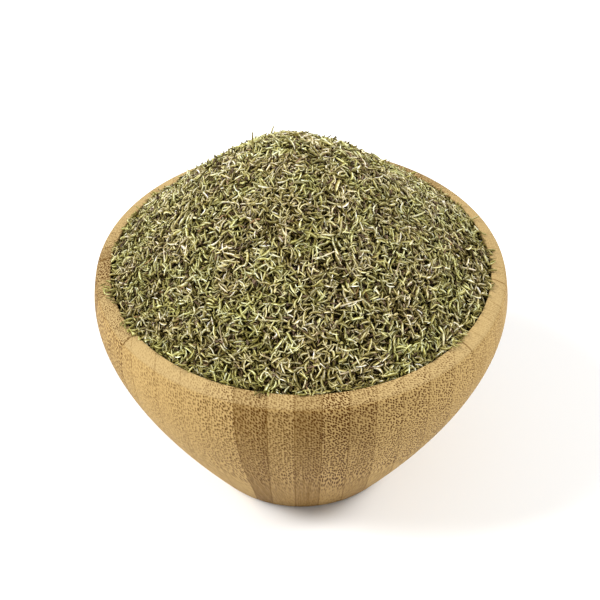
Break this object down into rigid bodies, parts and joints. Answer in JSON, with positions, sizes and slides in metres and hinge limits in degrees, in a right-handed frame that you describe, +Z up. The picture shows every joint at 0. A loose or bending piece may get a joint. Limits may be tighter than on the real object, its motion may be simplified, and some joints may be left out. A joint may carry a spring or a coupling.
{
  "type": "bamboo bowl heaped with dried thyme",
  "caption": "Round bowl turned from laminated bamboo with a small flat foot, filled past its rim with a rounded cone of dried, rubbed thyme leaves and bits of stem.",
  "frame": {"origin": "middle of the bowl's foot, on the surface that it stands on", "axes": "+Z up along the bowl's axis, through the heap; -Y towards the front, where the glued strips run up the wall; the long way of the strips is along Y"},
  "size_m": [0.122, 0.122, 0.1166],
  "materials": {
    "bamboo": "laminated bamboo, turned and sanded, thin satin oil finish, darker strips and end-grain dots",
    "dried_thyme": "dry plant matter, matt, olive to grey-green leaves with straw-coloured stems"
  },
  "bodies": {
    "root": {"bamboo_bowl": "bamboo", "dried_thyme": "dried_thyme"}
  },
  "joints": []
}
